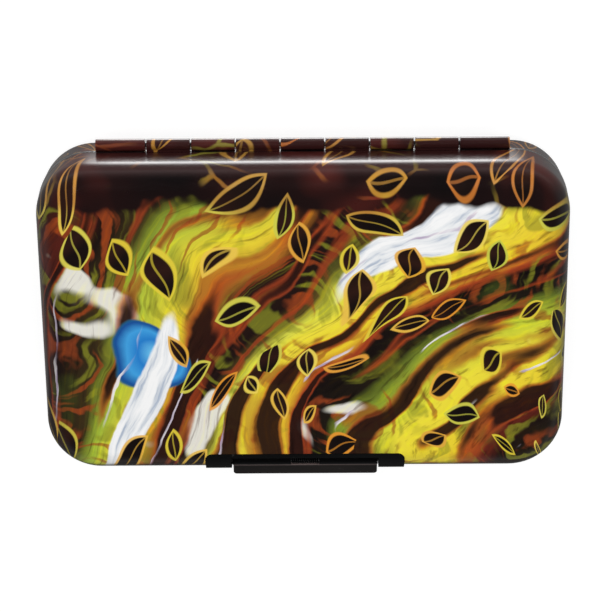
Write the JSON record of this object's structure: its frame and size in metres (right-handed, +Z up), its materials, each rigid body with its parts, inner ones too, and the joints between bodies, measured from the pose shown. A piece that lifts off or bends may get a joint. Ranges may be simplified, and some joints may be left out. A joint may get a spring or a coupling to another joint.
{
  "type": "fly box",
  "caption": "Flat two-part pocket case for fishing flies: pressed metal halves on a piano hinge, a sprung thumb latch and slit foam pads inside.",
  "frame": {"origin": "centre of the base's flat face, on the surface that the box lies on", "axes": "+X along the hinge, +Y toward the hinge, +Z up toward the lid's face"},
  "size_m": [0.152, 0.1044, 0.0304],
  "materials": {
    "print": "pressed aluminium under a satin gloss printed coat, bare at the cut rims",
    "steel": "drawn stainless wire, satin",
    "liner": "moulded black, fine grain",
    "tape": "double-sided adhesive sheet",
    "foam": "closed-cell foam, matt, with fine slits",
    "housing": "moulded black, satin",
    "lever": "moulded brown-black, satin",
    "catch": "stamped and painted black",
    "rivet": "solid rivets, bare"
  },
  "bodies": {
    "base": {"base_shell": "print", "base_hinge_leaf": "print", "hinge_pin": "steel", "base_liner": "liner", "base_foam_tape": "tape", "base_foam": "foam", "catch_plate": "catch", "catch_rivets": "rivet"},
    "lid": {"lid_shell": "print", "lid_hinge_leaf": "print", "lid_liner": "liner", "lid_foam_tape": "tape", "lid_foam": "foam", "latch_housing": "housing", "housing_rivets": "rivet", "latch_pin": "steel", "latch_spring": "steel"},
    "lever": {"latch_lever": "lever"}
  },
  "joints": [
    {"name": "lid_hinge", "type": "hinge", "parent": "base", "child": "lid", "pos_m": [0, 0.0494, 0.0152], "axis": [-1, 0, 0], "range_deg": [0, 180]},
    {"name": "latch_lever", "type": "hinge", "parent": "lid", "child": "lever", "pos_m": [0, -0.0452, 0.025], "axis": [-1, 0, 0], "range_deg": [0, 20], "stiffness_Nm_per_rad": 0.04, "springref_deg": -20.05, "deforming": ["latch_spring"]}
  ]
}
